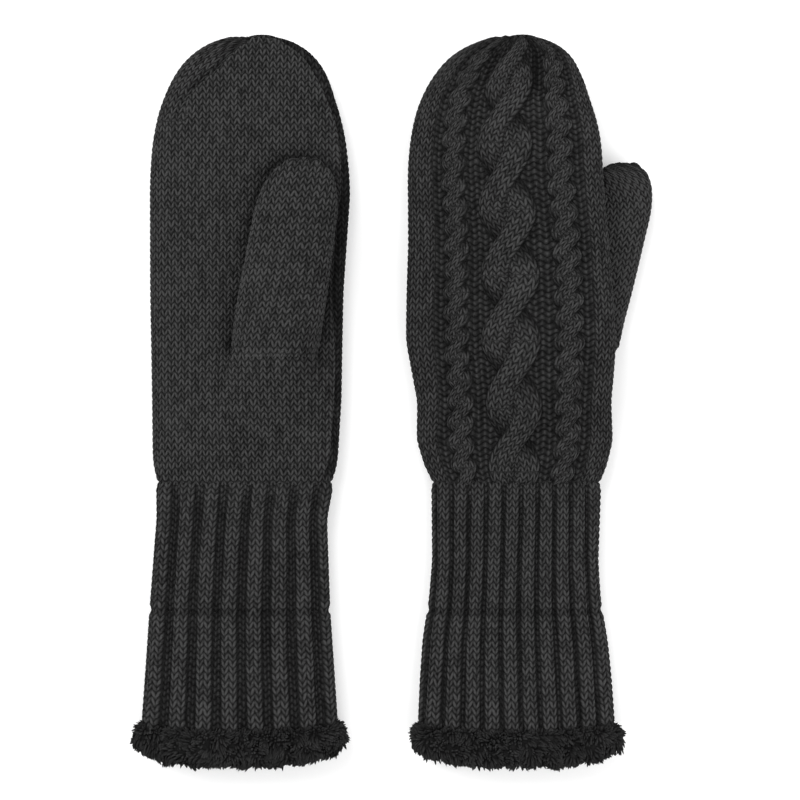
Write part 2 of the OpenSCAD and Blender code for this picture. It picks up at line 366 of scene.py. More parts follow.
def palm_relief(mitten, x, around, y, to_edge, side_along):
    """Plain knitting with a decrease ridge at the crown, beyond which the wales follow the outline.
    Around is x measured along the sheet, which goes on over the rounded sides."""
    relief = Relief(x.shape)
    wale, course = size("wale"), size("course")
    way = 1 if mitten.side == RIGHT else -1
    out = (x - mitten.centre(y)) * way
    plain_knit(relief, around / wale, y / course)
    ridge_x = np.interp(y, (138, 145, 152, 159, 165, 169), (-28, -22, -14, -8.5, -2.5, 4))
    beyond = (ridge_x - out) * 0.8
    in_crown = smooth((y - 134) / 9)
    plain_knit(relief, (PANEL_HALF - to_edge) / wale, side_along / course, (beyond > 0) & (y > 128))
    relief.height += in_crown * (bell((beyond + 1.2) / 1.4) - 1.2 * bell((beyond - 1.4) / 1.6))
    # Painted shade in the crown's decrease valley, and a painted highlight on its ridge
    relief.light *= 1 - 0.45 * in_crown * bell((beyond - 1.4) / 1.8)
    relief.light *= 1 + 0.4 * in_crown * bell((beyond + 0.9) / 0.8)
    # The fold along the thumb's side, past which the back's edge comes round, with painted shade past it
    # and a painted highlight on it
    from_side = mitten.half(y) - out
    fold = np.interp(y, (-38, -25, 20, 50, 75, 115, 125, 138, 150, 165),
                     (5.8, 4, 3.5, 5.6, 5.6, 3.5, 3.5, 4.2, 6, 6))
    past = fold - from_side
    on_palm_side = smooth((y - WRIST_Y) / 8)
    relief.height += on_palm_side * (0.5 * bell((past + 0.7) / 0.8) - 1.3 * bell((past - 1.1) / 0.9))
    relief.light *= 1 - 0.6 * on_palm_side * smooth((past + 0.1) / 0.9)
    relief.light += 0.3 * on_palm_side * bell((past + 0.6) / 0.5)
    # Painted shadow on the palm close to the thumb's root, sides and tip
    level = np.clip(y, CROTCH_Y, THUMB_TIP_Y - 18)
    thumb_half = np.interp(level, (30, 90), (THUMB_W / 2, 18))
    gap = np.hypot(x - mitten.thumb_centre(level), y - level) - thumb_half
    relief.light *= 1 - 0.5 * bell(gap / 4) * smooth((y - CROTCH_Y) / 8)
    # The tight corner of the crotch: a real dip, with painted shade in it
    corner = np.hypot(x - mitten.thumb_centre(CROTCH_Y) + way * (THUMB_W / 2 + 0.5), y - CROTCH_Y - 1)
    relief.height -= 1.6 * bell(corner / 2.6)
    relief.light *= 1 - 0.6 * bell(corner / 3.2)
    return relief


def rib_relief(across, along, pitch, wales, rib_share):
    """Ribbing: knitted ribs with purl channels between them, and painted shade in the channels and on the
    ribs' sides.
    """
    wander = 0.45 * np.sin(along / 21 + across / 17)
    rib = (across + wander) / pitch + 0.5
    place = part(rib) - 0.5
    relief = Relief(across.shape)
    purl_ground(relief, across, along, light=0.42, width=1.05)
    body = dome(np.clip(place / rib_share * 2, -1, 1), 2.6)
    u = (place / rib_share + 0.5) * wales
    stitch = knit(u, along / size("course"))
    # The channels' painted shade is lighter towards the wrist
    relief.light *= 1 + 0.9 * smooth((along - WRIST_Y + 11) / 11)
    relief.lay(np.abs(place) < rib_share / 2, u=u + 8 * np.floor(rib), v=along / size("course"), purl=0.0,
               height=1.9 * body + 0.8 * stitch * (0.3 + 0.7 * body),
               light=(0.16 + 0.78 * smooth(body)) * (0.6 + 0.4 * stitch))
    return relief


# ---- meshes

def normals_of(points, wraps=False):
    """Unit normals of a grid of points, towards +Z where columns run along +X and rows along +Y."""
    across = np.gradient(points, axis=1)
    if wraps:
        across[:, 0] = across[:, -1] = (points[:, 1] - points[:, -2]) / 2
    normal = np.cross(across, np.gradient(points, axis=0))
    return normal / np.maximum(np.linalg.norm(normal, axis=2, keepdims=True), 1e-9)


def unit(vectors):
    return vectors / np.linalg.norm(vectors, axis=-1, keepdims=True)


def raise_relief(points, relief, way=1, wraps=False):
    """Moves a sheet's points out by its relief, and never below the floor."""
    points = points + way * normals_of(points, wraps) * relief.height[:, :, None]
    points[:, :, 2] = np.maximum(points[:, :, 2], 0)
    if wraps:
        points[:, -1] = points[:, 0]
    return points


def select_only(*objects):
    bpy.ops.object.select_all(action="DESELECT")
    for obj in objects:
        obj.select_set(True)
    bpy.context.view_layer.objects.active = objects[0]


def primitive(add, name, **settings):
    """Adds a primitive about 2 across, named, and gives its points too."""
    bpy.ops.object.select_all(action="DESELECT")
    add(**settings)
    obj = bpy.context.object
    obj.name = obj.data.name = name
    points = np.zeros(len(obj.data.vertices) * 3)
    obj.data.vertices.foreach_get("co", points)
    return obj, points.reshape(-1, 3)


def place_points(obj, points, relief):
    """Moves a piece's points to places in mm and stores its relief's fields."""
    obj.data.vertices.foreach_set("co", (points * MM).ravel())
    mark(obj.data, relief)
    obj.data.update()
    select_only(obj)


def mark(mesh, relief):
    """Stores what the materials read: light and purl on the points, the stitch places as a UV map."""
    for field in ("light", "purl"):
        values = mesh.attributes.new(field, "FLOAT", "POINT")
        values.data.foreach_set("value", getattr(relief, field).ravel().astype(np.float32))
    corner = np.zeros(len(mesh.loops), np.int32)
    mesh.loops.foreach_get("vertex_index", corner)
    places = np.stack([relief.u.ravel()[corner], relief.v.ravel()[corner]], axis=1)
    while mesh.uv_layers:
        mesh.uv_layers.remove(mesh.uv_layers[0])
    mesh.uv_layers.new(name="stitches").data.foreach_set("uv", places.ravel().astype(np.float32))


# Points that lie closer than this, in metres, are merged
MEETING = 2e-6


def sheet(name, points, relief, cap=False):
    """Bends a grid primitive to rows and columns of points in mm. Points that meet are merged,
    and with cap the open end is filled."""
    rows, columns = points.shape[:2]
    obj, flat = primitive(bpy.ops.mesh.primitive_grid_add, name, size=2,
                          x_subdivisions=columns - 1, y_subdivisions=rows - 1)
    column = np.rint((flat[:, 0] + 1) / 2 * (columns - 1)).astype(int)
    row = np.rint((flat[:, 1] + 1) / 2 * (rows - 1)).astype(int)
    place_points(obj, points[row, column], relief.each(lambda values: values[row, column]))
    bpy.ops.object.mode_set(mode="EDIT")
    bpy.ops.mesh.select_mode(type="VERT")
    bpy.ops.mesh.select_all(action="SELECT")
    bpy.ops.mesh.remove_doubles(threshold=MEETING)
    if cap:
        bpy.ops.mesh.select_all(action="DESELECT")
        bpy.ops.mesh.select_non_manifold()
        bpy.ops.mesh.edge_face_add()
    bpy.ops.object.mode_set(mode="OBJECT")
    bpy.ops.object.shade_smooth()
    return obj


def with_inside(points, relief, inner, rows_too):
    """Joins a coarse inner wall to a sheet: after its columns, or after its rows."""
    axis = 0 if rows_too else 1
    shape = inner.shape[:2]
    quiet = Relief(shape)
    # The inner wall gets an even painted shade
    quiet.light += 0.35
    quiet.u = np.broadcast_to(np.arange(shape[1]) * 1.0, shape)
    quiet.v = np.broadcast_to(np.arange(shape[0])[:, None] * 1.0, shape)
    return np.concatenate([points, inner], axis=axis), relief.joined(quiet, axis)


def close_up(points, relief, axis):
    """Repeats the first row or column at the end."""
    first = (slice(0, 1),) if axis == 0 else (slice(None), slice(0, 1))
    relief.each(lambda values: np.concatenate([values, values[first]], axis=axis))
    return np.concatenate([points, points[first]], axis=axis), relief


def flipped(points, relief, axis):
    """Turns the order of the rows or of the columns round."""
    return np.flip(points, axis), relief.each(lambda values: np.flip(values, axis))


def spread_rows(mitten, low, high, count):
    """Heights along the hand whose rows are evenly far apart over the rounded crown too."""
    y = np.linspace(low, high, 4000)
    return evenly(y, travelled(y, 0.5 * mitten.half(y)), count)


def side_length(mitten, y):
    """Length along the side's outline up to y, from the crown's start on."""
    fine = np.linspace(mitten.crown_y, TIP_Y - 1, 2000)
    along = travelled(fine, mitten.half(fine))
    return np.where(y < mitten.crown_y, y, mitten.crown_y + np.interp(y, fine, along))


# ---- the knitted shell

HAND_ROWS, HAND_COLUMNS, INNER_COLUMNS = 364, 232, 20
TIP_ROWS = 10
KNIT_INSET = 0.9
KNIT_T = 2.4


def hand_panel(mitten, palm):
    """Builds the palm or the back of the knitted shell, with its inner face."""
    upper = palm == mitten.palm_up
    way = 1 if upper else -1
    ys = spread_rows(mitten, WRIST_Y - 0.2, TIP_Y - 2.0, HAND_ROWS - TIP_ROWS)
    inset = KNIT_INSET + 0.8 * (1 - smooth((ys - WRIST_Y) / 9))
    points, half_arc = mitten.panel(ys, upper, HAND_COLUMNS, inset)
    inner = mitten.panel(ys, upper, INNER_COLUMNS, inset + KNIT_T)[0]
    y = np.broadcast_to(ys[:, None], points.shape[:2])
    if palm:
        for wall, shrink in ((points, 1.0), (inner, 0.94)):
            from_fold = smooth((1 - np.abs(np.linspace(-1, 1, wall.shape[1]))) / 0.12)
            wall[:, :, 2] += way * shrink * from_fold * mitten.thumb_rise(wall[:, :, 0], ys[:, None])
    share = np.linspace(-1, 1, HAND_COLUMNS)[None, :]
    side_along = ys[:, None] + (side_length(mitten, ys) - ys)[:, None] * share ** 2
    if palm:
        relief = palm_relief(mitten, points[:, :, 0], mitten.centre(y) + share * half_arc, y,
                             half_arc * (1 - np.abs(share)), side_along)
    else:
        sway = np.interp(ys, (-38, 30, 72, 110, 140, 167), (-1.8, 1.5, 2, 1.2, 2, 5))[:, None]
        place = share * PANEL_HALF - (sway if mitten.side == LEFT else -sway)
        relief = back_relief(place, side_along)
        crown = smooth((y - 136) / 10)
        # Grooves down the back's crown, with painted shade in them
        for middle, deep in ((14.5, 1.0), (-14.5, 0.6)):
            valley = crown * deep * bell((place - middle) / 2.6)
            relief.height -= 1.5 * valley
            relief.light *= 1 - 0.75 * valley
    # Pleats where the tip is drawn together, with painted shade in their folds
    pleats = smooth((y - TIP_Y + 15) / 13)
    fold = np.cos(2 * math.pi * share * PANEL_HALF / 10.2)
    relief.height = relief.height * (1 - 0.7 * pleats) + pleats * (0.55 * fold - 0.2)
    relief.light *= 1 - 0.4 * pleats * (0.5 - 0.5 * fold)
    # The panel dips at its side edges and at the wrist, with painted shade there
    edge = smooth((np.abs(share) - 0.985) / 0.015)
    wrist = 1 - smooth((y - WRIST_Y) / 2.4)
    relief.height = relief.height * (1 - edge) * (1 - 0.6 * wrist) - 0.5 * edge - 0.45 * wrist
    relief.light *= (1 - 0.7 * edge) * (1 - 0.12 * wrist)
    points = raise_relief(points, relief, way)
    points[0, :, 1] = ys[0]
    points, relief = with_inside(points, relief, inner[:, ::-1], False)
    points, relief = close_up(points, relief, 1)
    points = drawn_to(points, mitten.tip(), TIP_ROWS)
    relief.each(lambda values: np.concatenate([values, np.repeat(values[-1:], TIP_ROWS, axis=0)]))
    if not upper:
        points, relief = flipped(points, relief, 1)
    return sheet(f"{mitten.name}_knit_{'palm' if palm else 'back'}", points, relief, cap=True)


def drawn_to(points, tip, rows):
    """Adds rows that draw the last one together at the tip."""
    last = points[-1]
    return np.concatenate([points, [last + (tip - last) * t for t in np.linspace(0, 1, rows + 1)[1:]]])


def end_droop(mitten, x, y):
    """The cuff's open end hangs lower in its middle than at its corners."""
    share = np.clip((x - mitten.centre(y)) / (HAND_W / 2), -1, 1)
    return (0.2 - 2.4 * (1 - share ** 2)) * smooth((CUFF_END_Y + 34 - y) / 34)


CUFF_HALF = 47
CUFF_INSET = 2.3
# Distance from rib to rib, wales in a rib, and the share of the distance that is rib
PALM_RIBS = (12.0, 2, 0.66)
BACK_RIBS = (8.9, 2, 0.8)


def cuff_tube(mitten):
    """Builds the ribbed cuff, whose ribs are further apart on the palm side than on the back."""
    rows, columns = 214, 185
    ys = np.linspace(CUFF_END_Y - 0.5, WRIST_Y + 4, rows)
    share = np.broadcast_to(np.linspace(-1, 1, columns)[None, :], (rows, columns))
    along = np.broadcast_to(ys[:, None], share.shape)
    top, low = (PALM_RIBS, BACK_RIBS) if mitten.palm_up else (BACK_RIBS, PALM_RIBS)
    place = share * CUFF_HALF
    top = rib_relief(place + (3.9 if mitten.palm_up else 3), along, *top)
    low = rib_relief(place, along, *low)
    relief = top.joined(low.each(lambda values: values[:, -2::-1]), 1)
    points = mitten.ring(ys, 2 * columns - 2, CUFF_INSET)
    y = points[:, :, 1]
    pinch = bell((y - STITCH_LINE_Y - 0.8) / 1.5)
    wrist = smooth((y - WRIST_Y + 3) / 4)
    under = smooth((y - WRIST_Y - 0.3) / 2.2)
    round_off = smooth((CUFF_END_Y + 5 - y) / 5)
    relief.height *= 1 - 0.3 * wrist
    relief.height -= 0.9 * pinch + 0.1 * wrist + 2.6 * under + round_off
    # Painted shade in the pinched stitch line, at the wrist and on the rounded-off end
    relief.light *= (1 - 0.4 * pinch) * (1 - 0.15 * wrist) * (1 - 0.7 * round_off)
    relief.height[:, -1] = relief.height[:, 0]
    points = raise_relief(points, relief, wraps=True)
    inner = mitten.ring(np.linspace(ys[-1], ys[0], 16), 2 * columns - 2, CUFF_INSET + KNIT_T / 2)
    points, relief = with_inside(points, relief, inner, True)
    points[:, :, 1] += end_droop(mitten, points[:, :, 0], points[:, :, 1])
    points, relief = close_up(points, relief, 0)
    return sheet(f"{mitten.name}_knit_cuff", points, relief)


THUMB_CROWN = 29.0
THUMB_TIP_ROWS = 6
THUMB_INSET = 0.4


def thumb_ring(mitten, y, columns, inset=0.0):
    """A closed cross-section of the thumb, first over its outer side from -x to +x."""
    crown = THUMB_TIP_Y - THUMB_CROWN
    end = THUMB_TIP_Y - 0.6 - inset
    c = max(float(dome(max(0, (y - crown) / (end - crown)), 2.2)), 0.02)
    c *= 1 - 0.08 * float(smooth((y - CROTCH_Y - 15) / 60))
    tuck = 1.3 * (1 - smooth((y - CROTCH_Y + 2.6) / 3.4))
    angle = np.linspace(math.pi, -math.pi, 721)
    cos, sin = np.cos(angle), np.sin(angle)
    power = 2 / mitten.section_power
    x = mitten.thumb_centre(y) + (THUMB_W / 2 - inset - tuck) * c * np.sign(cos) * np.abs(cos) ** power
    low, high = inset, THUMB_T - inset - tuck
    middle = low + (high - low) / 2 * float(smooth((y - CROTCH_Y) / 14))
    arch = np.abs(sin) ** power
    away = np.where(sin >= 0, middle + (high - middle) * c * arch, middle - (middle - low) * c * arch)
    away = away - (1 - c) * 3.5
    along = travelled(x, away)
    x, away = evenly(x, along, columns), evenly(away, along, columns)
    if mitten.palm_up:
        outer = np.abs(x - mitten.centre(y)) / max(float(mitten.half(y)), 1)
        z = HAND_T + 0.5 + away - 5.0 * smooth((outer - 0.45) / 0.6) * smooth((y - CROTCH_Y) / 25)
    else:
        z = THUMB_T - away
    return np.stack([x, np.full_like(x, y), z], axis=1), np.linspace(0, along[-1], columns) - along[180]


def thumb_rows(count, inset, start):
    """Heights whose rows are evenly far apart over the thumb's rounded tip too."""
    fine = np.linspace(start, THUMB_TIP_Y - 1.4 - inset, 2000)
    crown = THUMB_TIP_Y - THUMB_CROWN
    share = dome(np.maximum(0, fine - crown) / (THUMB_TIP_Y - 0.6 - inset - crown), 2.2)
    return evenly(fine, travelled(fine, 0.5 * THUMB_W / 2 * share), count)


def thumb_wall(mitten, rows, columns, inset, start):
    """One wall of the thumb from its base to its closed tip, with the distance around it."""
    ys = thumb_rows(rows - THUMB_TIP_ROWS, inset, start)
    rings = [thumb_ring(mitten, y, columns, inset) for y in ys]
    points = np.array([ring[0] for ring in rings])
    around = np.array([ring[1] for ring in rings])
    tip = points[-1].mean(axis=0) - (0, 0.8, 0)
    around = np.concatenate([around, np.repeat(around[-1:], THUMB_TIP_ROWS, axis=0)])
    return drawn_to(points, tip, THUMB_TIP_ROWS), around


def thumb_tube(mitten):
    """Builds the thumb's shell, which grows out of the palm's rise and closes at its tip."""
    columns = 201
    way = 1 if mitten.palm_up else -1
    points, around = thumb_wall(mitten, 176, columns, THUMB_INSET, CROTCH_Y - 5)
    y = points[:, :, 1]
    relief = Relief(around.shape)
    u = (around + mitten.thumb_centre(CROTCH_Y)) / size("wale")
    plain_knit(relief, u, y / size("course"))
    pleats = smooth((y - THUMB_TIP_Y + 9) / 8)
    fold = np.cos(2 * math.pi * around / 7.5)
    relief.height = relief.height * (1 - 0.6 * pleats) + 0.6 * pleats * fold
    # Painted shade in the pleats' folds near the tip
    relief.light *= 1 - 0.6 * pleats * (0.5 - 0.5 * fold)
    # Painted sheen: the thumb's sides are lighter, as if their fibres caught the light
    relief.light *= 1 + 0.35 * smooth((np.abs(around) - 16) / 4)
    relief.height[:, -1] = relief.height[:, 0]
    relief.height[-THUMB_TIP_ROWS:] *= np.linspace(1, 0, THUMB_TIP_ROWS)[:, None]
    points = raise_relief(points, relief, way, wraps=True)
    points[-1] = points[-1].mean(axis=0)
    inner = thumb_wall(mitten, 18, columns, THUMB_INSET + KNIT_T, CROTCH_Y - 5)[0]
    points, relief = with_inside(*flipped(points, relief, 0), inner, True)
    points, relief = flipped(points, relief, 0)
    if not mitten.palm_up:
        points, relief = flipped(points, relief, 1)
    return sheet(f"{mitten.name}_knit_thumb", points, relief)


# ---- fleece

def bumps(points, grain, seed):
    """Soft value noise from 0 to 1 at points in mm."""
    table = np.random.default_rng(seed).random(4096)
    scaled = points / grain
    base = np.floor(scaled).astype(int)
    blend = smooth(scaled - base)
    total = np.zeros(points.shape[:-1])
    for corner in range(8):
        step = np.array([corner & 1, corner >> 1 & 1, corner >> 2])
        cell = (base + step) @ np.array([73, 179, 283]) % 4096
        total += table[cell] * np.prod(np.abs(1 - step - blend), axis=-1)
    return total


def fleece_sheet(points, deep, seed):
    """A sheet of short curly pile: lumps of two sizes, which stand deep mm out of it."""
    points[:, -1] = points[:, 0]
    lumps = 0.65 * bumps(points, 3.4, seed) + 0.35 * bumps(points, 1.9, seed + 1)
    relief = Relief(points.shape[:2])
    relief.height = (lumps - 0.5) * deep
    # Painted shade: the lumps' tops are lighter and their hollows darker
    relief.light = np.clip(lumps * 1.4 - 0.3, 0, 1)
    relief.u = points[:, :, 0] / 3
    relief.v = points[:, :, 1] / 3
    relief.height[:, -1] = relief.height[:, 0]
    return raise_relief(points, relief, wraps=True), relief


def hand_lining(mitten):
    """Builds the hand's lining: a bag of fleece with an outer and an inner wall."""
    walls = []
    for rows, inset in ((64, LINING_DEPTH + LINING_T), (40, LINING_DEPTH)):
        ys = spread_rows(mitten, WRIST_Y + 0.8, TIP_Y - 3 - inset, rows)
        wall = mitten.ring(ys, 150, inset)
        palm_columns = slice(0, 76) if mitten.palm_up else slice(75, 151)
        rise = 0.85 * mitten.thumb_rise(wall[:, palm_columns, 0], ys[:, None])
        wall[:, palm_columns, 2] += rise if mitten.palm_up else -rise
        tip = wall[-1].mean(axis=0) + (0, 0.6, 0)
        walls.append(drawn_to(wall, tip, 2))
    points, relief = fleece_sheet(np.concatenate([walls[0][::-1], walls[1]]), 1.3, 41 + mitten.side)
    points[0], points[-1] = points[0].mean(axis=0), points[-1].mean(axis=0)
    return sheet(f"{mitten.name}_fleece_hand", points, relief)


def thumb_lining(mitten):
    """Builds the thumb's lining."""
    inside = thumb_wall(mitten, 34, 91, LINING_DEPTH + LINING_T, CROTCH_Y - 3)[0]
    outside = thumb_wall(mitten, 26, 91, LINING_DEPTH, CROTCH_Y - 3)[0]
    points = np.concatenate([inside[::-1], outside])
    if not mitten.palm_up:
        points = points[:, ::-1]
    points, relief = fleece_sheet(points, 1.1, 51 + mitten.side)
    points[0], points[-1] = points[0].mean(axis=0), points[-1].mean(axis=0)
    return sheet(f"{mitten.name}_fleece_thumb", points, relief)


def cuff_lining(mitten):
    """Builds the cuff's lining, whose inner wall shows in the opening."""
    outside = mitten.ring(np.linspace(CUFF_END_Y, WRIST_Y + 0.5, 30), 220, LINING_DEPTH + 0.2)
    inside = mitten.ring(np.linspace(WRIST_Y + 0.5, CUFF_END_Y, 100), 220, LINING_DEPTH + LINING_T)
    points, relief = fleece_sheet(np.concatenate([outside, inside]), 1.5, 61 + mitten.side)
    points[:, :, 1] += end_droop(mitten, points[:, :, 0], points[:, :, 1])
    points, relief = close_up(points, relief, 0)
    return sheet(f"{mitten.name}_fleece_cuff", points, relief)


TUFTS = 5000
# Corners of the roll's section: how far out of the cuff's side and how far along it
TRIM_PROFILE = ((-2.4, 1.8), (-0.4, 2.0), (0.8, 0.2), (1.8, -3.5), (2.6, -7.2), (2.0, -10.4),
                (-0.6, -12.4), (-3.4, -12.4), (-5.4, -10.6), (-6.0, -7.0), (-6.1, -2.0), (-5.0, 1.5),
                (-2.4, 1.8))


def trim_grid(mitten, rows, columns):
    """The fleece edge's smooth form: a roll around the cuff's end that turns in to the lining."""
    ring = mitten.ring([CUFF_END_Y], columns)[0]
    x, z = ring[:, 0], ring[:, 2]
    dx, dz = np.gradient(x), np.gradient(z)
    dx[0] = dx[-1] = (x[1] - x[-2]) / 2
    dz[0] = dz[-1] = (z[1] - z[-2]) / 2
    length = np.hypot(dx, dz)
    at = np.linspace(0, 1, rows) * (len(TRIM_PROFILE) - 1)
    soft = np.hanning(rows // 9 * 2 + 1)
    soft /= soft.sum()
    lines = []
    for corners in zip(*TRIM_PROFILE):
        line = np.pad(np.interp(at, np.arange(len(corners)), corners)[:-1], len(soft) // 2, mode="wrap")
        line = np.convolve(line, soft, mode="valid")
        lines.append(np.append(line, line[0])[:, None])
    offset, height = lines
    points = np.zeros((rows, len(x), 3))
    points[:, :, 0] = x - offset * dz / length
    points[:, :, 2] = z + offset * dx / length
    droop = end_droop(mitten, points[:, :, 0], np.full(points.shape[:2], CUFF_END_Y))
    sides = np.abs((points[:, :, 0] - mitten.centre(CUFF_END_Y)) / (HAND_W / 2))
    points[:, :, 1] = CUFF_END_Y + droop + height * (1 - 0.28 * np.clip(sides, 0, 1.1) ** 4)
    return points[::-1]


def add_tufts(obj, places, outwards, seed, count):
    """Joins soft pointed tufts of pile to a piece. One tuft is modelled and copied."""
    rng = np.random.default_rng(seed)
    tuft, shape = primitive(bpy.ops.mesh.primitive_uv_sphere_add, "tuft", segments=5, ring_count=4)
    mesh = tuft.data
    faces = [tuple(face.vertices) for face in mesh.polygons]
    bpy.data.objects.remove(tuft)
    bpy.data.meshes.remove(mesh)
    pick = rng.choice(len(places), count, replace=False)
    root, out = places[pick], outwards[pick]
    clump = np.stack([bumps(root, 4.6, seed + k) - 0.5 for k in (1, 2, 3)], axis=1)
    lay = np.array([0, -0.75, 0]) + 3.2 * clump + rng.normal(0, 0.15, (count, 3))
    lay -= out * np.sum(lay * out, axis=1, keepdims=True)
    grow = unit(out * 0.85 + lay * 0.55)
    side = unit(np.cross(grow, rng.normal(0, 1, (count, 3))))
    other = np.cross(grow, side)
    length = size("pile_length") * (0.65 + 0.6 * rng.random(count))
    length = (length * (0.75 + 0.6 * bumps(root, 5.0, seed + 4)))[:, None, None]
    thick = 0.78 * (0.7 + 0.5 * rng.random(count))[:, None, None]
    root = root - out * 0.7
    # One row for each tuft, one column for each point of the tuft that is copied
    root, side, other, grow, lay = (vectors[:, None] for vectors in (root, side, other, grow, lay))
    x, y, z = shape.T[:, :, None]
    up = (z + 1) / 2
    points = (root + (side * x + other * y) * thick * (1.15 - 0.55 * up)
              + (grow * up + lay * 0.32 * up ** 2) * length)
    points[:, :, 2] = np.maximum(points[:, :, 2], 0)
    step = len(shape)
    tufts = bpy.data.meshes.new(obj.name + "_tufts")
    tufts.from_pydata((points.reshape(-1, 3) * MM).tolist(), [],
                      [tuple(v + k * step for v in face) for k in range(count) for face in faces])
    relief = Relief((count, step))
    shade = 0.3 + 0.3 * rng.random(count)[:, None] + 0.8 * bumps(root, 3.0, seed + 5)
    # Painted shade: each tuft is darker towards its root, deep in the pile, times its own random tone
    relief.light = (0.1 + 0.9 * up[:, 0] ** 1.3) * shade
    mark(tufts, relief)
    tufts.update()
    piece = bpy.data.objects.new(obj.name + "_tufts", tufts)
    bpy.context.scene.collection.objects.link(piece)
    select_only(obj, piece)
    bpy.ops.object.join()
    bpy.ops.object.shade_smooth()
    return obj


def fleece_edge(mitten):
    """Builds the turned-out fleece edge with its curly pile."""
    points, relief = fleece_sheet(trim_grid(mitten, 46, 240), 2.4, 11 + mitten.side)
    # The sheet under the tufts gets painted shade, deep in the pile
    relief.light *= 0.35
    normal = normals_of(points, wraps=True)
    points[-1], points[:, -1] = points[0], points[:, 0]
    obj = sheet(f"{mitten.name}_fleece_edge", points, relief)
    places, outwards = (grid[9:-1, :-1].reshape(-1, 3) for grid in (points, normal))
    return add_tufts(obj, places, outwards, 31 + 10 * mitten.side, TUFTS)


# ---- seams and gathers

PLY_TURN = 2.2
CORD_PLIES = 3


def cord(name, path, radius=0.7, up=(0, 1, 0), ring=True):
    """A twisted cord along a path in mm: a ring, or a length that tapers off at both ends."""
    along = np.gradient(path, axis=0)
    if ring:
        along[0] = along[-1] = (path[1] - path[-2]) / 2
    up = np.array(up, float)
    side = unit(np.cross(unit(along), up))
    turn = np.linspace(0, 2 * math.pi, 13)[:, None]
    length = np.concatenate([[0], np.cumsum(np.linalg.norm(np.diff(path, axis=0), axis=1))])
    phase = 2 * math.pi * np.rint(length[-1] / PLY_TURN) * (length / length[-1])[None, :]
    ply = np.cos(CORD_PLIES * turn + phase)
    thick = radius * (1 + 0.16 * ply)
    if not ring:
        thick[:, 0] = thick[:, -1] = 0
    out = side * np.cos(turn)[:, :, None] + up * np.sin(turn)[:, :, None]
    points = path + thick[:, :, None] * out
    points[-1] = points[0]
    if ring:
        points[:, -1] = points[:, 0]
    relief = Relief(ply.shape)
    # Painted shade in the grooves between the plies
    relief.light = 0.35 + 0.4 * ply
    relief.u += turn / 3
    relief.v += length / PLY_TURN
    return sheet(name, points, relief)


def side_path(mitten):
    """The line where the palm meets the back: up one side, around the tip and down the other."""
    ys = spread_rows(mitten, WRIST_Y + 1, TIP_Y - 2.0, 200)
    sides = []
    for way in (-1, 1):
        x = mitten.centre(ys) + way * np.maximum(mitten.half(ys) - 1.6, 0.5)
        z = mitten.bottom(ys) + mitten.thickness(ys) / 2 + mitten.lift(x, ys)
        sides.append(np.stack([x, ys, z], axis=1))
    return np.concatenate([sides[0], sides[1][::-1]])


def gather(name, centre, half_width, half_height, folds):
    """The puckered knot of drawn-up stitches at a tip."""
    obj, shape = primitive(bpy.ops.mesh.primitive_uv_sphere_add, name, segments=folds * 8, ring_count=16)
    x, y, z = shape.T
    around = np.arctan2(y, x)
    out = np.hypot(x, y)
    fold = np.cos(folds * around) * out
    pucker = 1 + 0.16 * fold
    dimple = -0.55 * (1 - smooth(out / 0.5)) * (z > 0)
    points = np.stack([x * half_width * pucker, (z + dimple) * 1.3, -y * half_height * pucker], axis=1)
    points += centre
    points[:, 2] = np.maximum(points[:, 2], 0)
    relief = Relief(out.shape)
    # Painted shade in the hollows of the pucker's folds
    relief.light = 0.35 + 0.35 * fold
    relief.u = around / (2 * math.pi) * folds
    relief.v = out * half_width / size("course")
    place_points(obj, points, relief)
    bpy.ops.object.shade_smooth()
    return obj


# ---- materials

def wire_maths(operation):
    """A method that puts a wire, and any other value given, through one maths operation."""
    return lambda wire, *others: wire.maths(operation, wire, *others)


class Wire:
    """A shader socket's value, so that shader maths reads as Python."""

    def __init__(self, shader, socket):
        self.shader, self.socket = shader, socket

    def maths(self, operation, *values):
        made = self.shader.tree.nodes.new("ShaderNodeMath")
        made.operation = operation
        for place, value in enumerate(values):
            if isinstance(value, Wire):
                self.shader.tree.links.new(value.socket, made.inputs[place])
            else:
                made.inputs[place].default_value = value
        return Wire(self.shader, made.outputs[0])

    __add__ = __radd__ = wire_maths("ADD")
    __sub__ = wire_maths("SUBTRACT")
    __mul__ = __rmul__ = wire_maths("MULTIPLY")
    __pow__ = wire_maths("POWER")
    __abs__ = wire_maths("ABSOLUTE")
    sine = wire_maths("SINE")
    part = wire_maths("FRACT")
    floor = wire_maths("FLOOR")

    def __rsub__(self, other):
        return self.maths("SUBTRACT", other, self)


